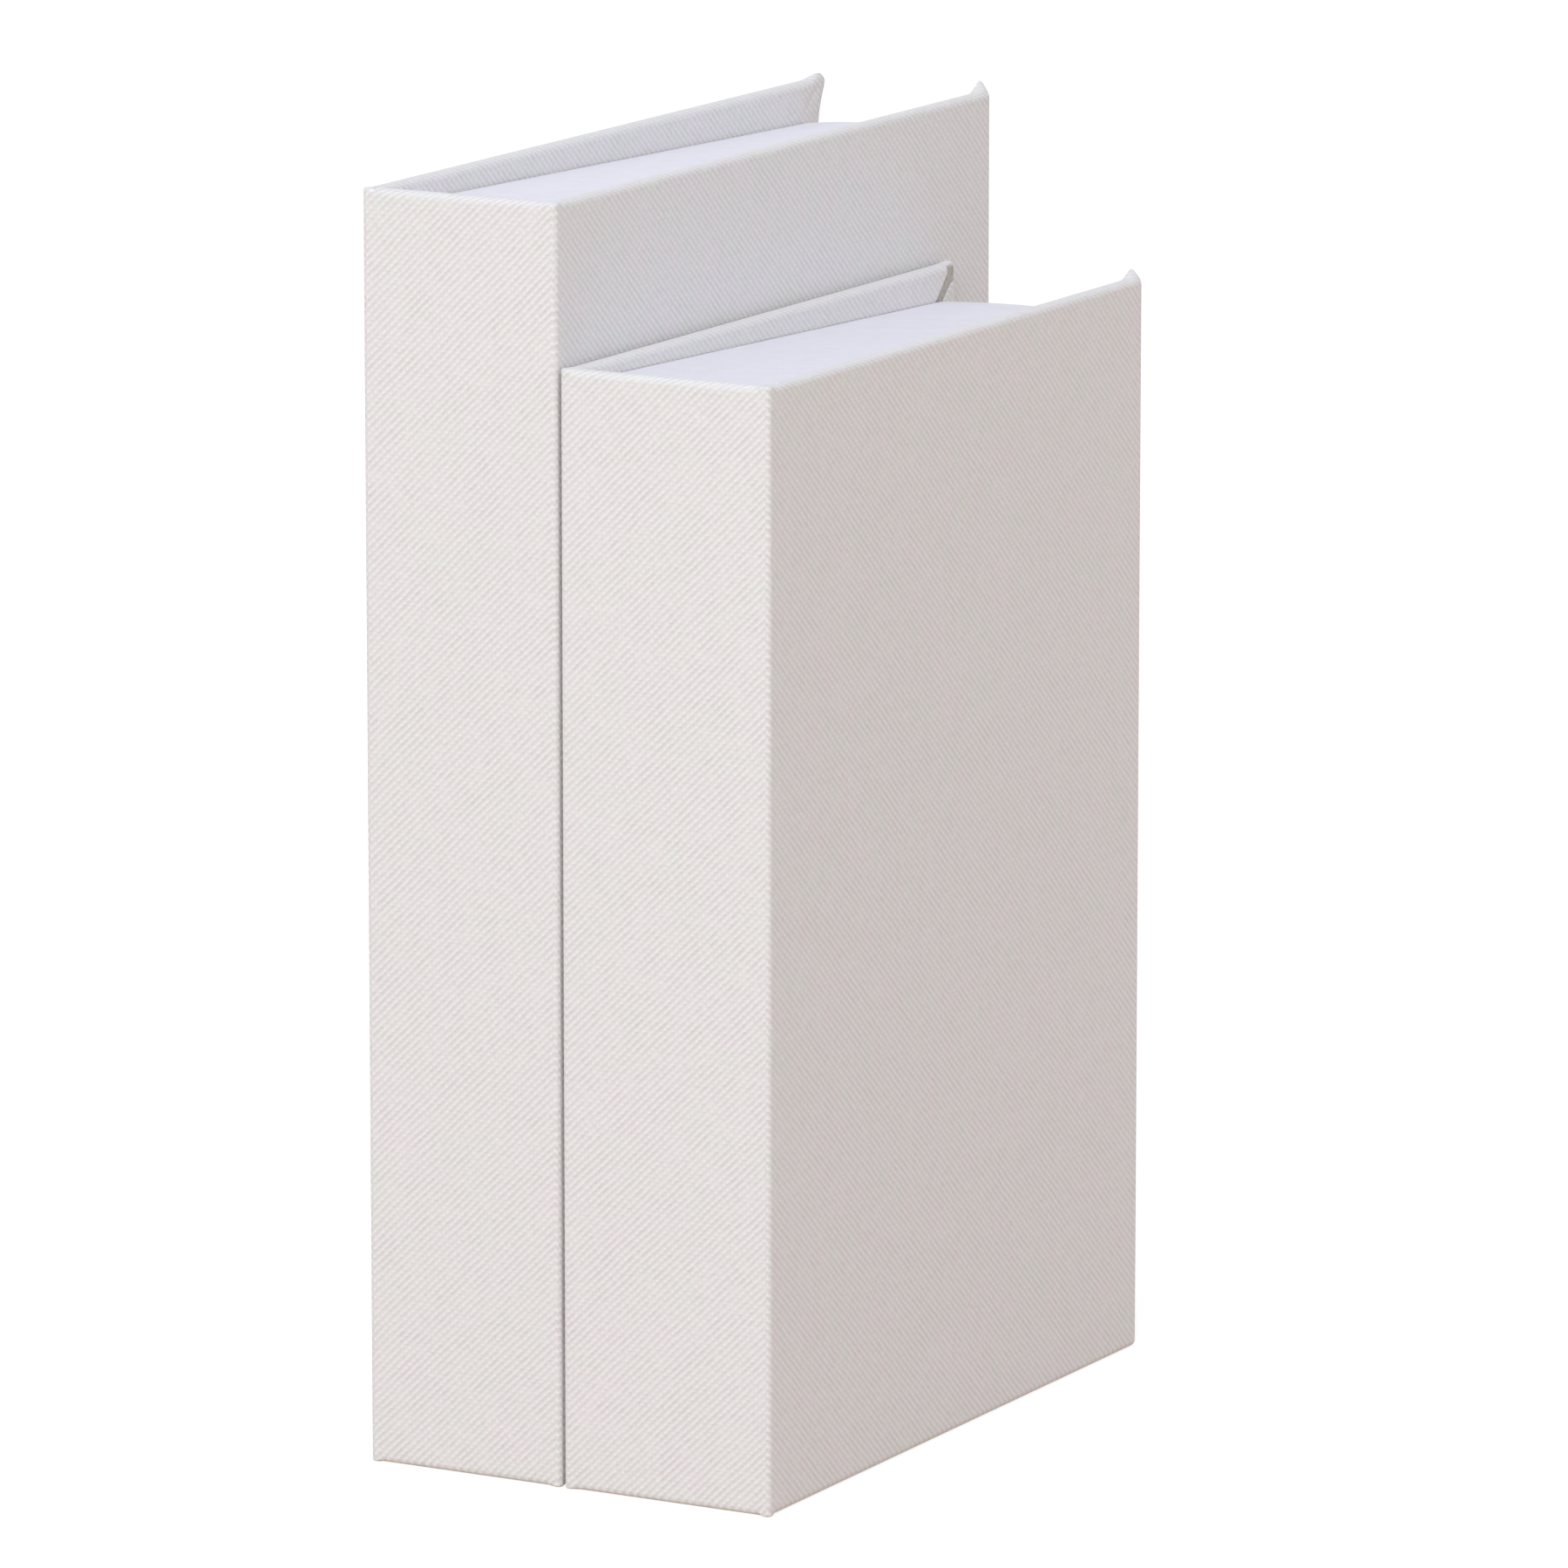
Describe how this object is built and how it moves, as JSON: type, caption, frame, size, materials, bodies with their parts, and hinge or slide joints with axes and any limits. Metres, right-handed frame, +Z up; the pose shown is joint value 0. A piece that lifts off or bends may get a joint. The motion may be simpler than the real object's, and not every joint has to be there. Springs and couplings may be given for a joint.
{
  "type": "book-shaped storage box set",
  "caption": "Cloth-covered book-shaped storage boxes standing side by side, tall beside short, each with a hinged cover as its lid over a page-like tray.",
  "frame": {"origin": "middle of the pair's footprint, on the surface it stands on", "axes": "+Z up along the boxes' height, -Y towards the viewer of the spines, +X from the tall box to the short one"},
  "size_m": [0.0958, 0.19, 0.27],
  "materials": {
    "bookcloth": "plain-woven off-white bookcloth",
    "greyboard": "raw greyboard",
    "page_paper": "smooth cool-white paper",
    "lining_paper": "smooth warm-white paper",
    "magnet": "nickel-plated disc magnet"
  },
  "bodies": {
    "large_box": {"large_back_cover_board": "greyboard", "large_back_cover_cloth": "bookcloth", "large_back_cover_lining": "lining_paper", "large_back_joint_cloth": "bookcloth", "large_spine_board": "greyboard", "large_spine_cloth": "bookcloth", "large_spine_lining": "lining_paper", "large_lid_joint_cloth": "bookcloth", "large_tray_base_board": "greyboard", "large_tray_floor_lining": "lining_paper", "large_tray_tail_wall": "greyboard", "large_tray_tail_paper": "page_paper", "large_tray_fore_edge_wall": "greyboard", "large_tray_fore_edge_paper": "page_paper", "large_tray_head_wall": "greyboard", "large_tray_head_paper": "page_paper", "large_tray_spine_wall": "greyboard", "large_tray_spine_paper": "page_paper", "large_tray_upper_magnet": "magnet", "large_tray_lower_magnet": "magnet"},
    "large_lid": {"large_lid_board": "greyboard", "large_lid_cloth": "bookcloth", "large_lid_lining": "lining_paper", "large_lid_upper_magnet": "magnet", "large_lid_lower_magnet": "magnet"},
    "small_box": {"small_back_cover_board": "greyboard", "small_back_cover_cloth": "bookcloth", "small_back_cover_lining": "lining_paper", "small_back_joint_cloth": "bookcloth", "small_spine_board": "greyboard", "small_spine_cloth": "bookcloth", "small_spine_lining": "lining_paper", "small_lid_joint_cloth": "bookcloth", "small_tray_base_board": "greyboard", "small_tray_floor_lining": "lining_paper", "small_tray_tail_wall": "greyboard", "small_tray_tail_paper": "page_paper", "small_tray_fore_edge_wall": "greyboard", "small_tray_fore_edge_paper": "page_paper", "small_tray_head_wall": "greyboard", "small_tray_head_paper": "page_paper", "small_tray_spine_wall": "greyboard", "small_tray_spine_paper": "page_paper", "small_tray_upper_magnet": "magnet", "small_tray_lower_magnet": "magnet"},
    "small_lid": {"small_lid_board": "greyboard", "small_lid_cloth": "bookcloth", "small_lid_lining": "lining_paper", "small_lid_upper_magnet": "magnet", "small_lid_lower_magnet": "magnet"}
  },
  "joints": [
    {"name": "large_lid_hinge", "type": "hinge", "parent": "large_box", "child": "large_lid", "pos_m": [-0.04612, -0.09325, 0.135], "axis": [0, 0, 1], "range_deg": [0, 180]},
    {"name": "small_box_slide", "type": "slide", "parent": "large_box", "child": "small_box", "axis": [1, 0, 0], "range_m": [0, 0.12]},
    {"name": "small_lid_hinge", "type": "hinge", "parent": "small_box", "child": "small_lid", "pos_m": [0.04612, -0.09325, 0.118], "axis": [0, 0, -1], "range_deg": [0, 180]}
  ]
}
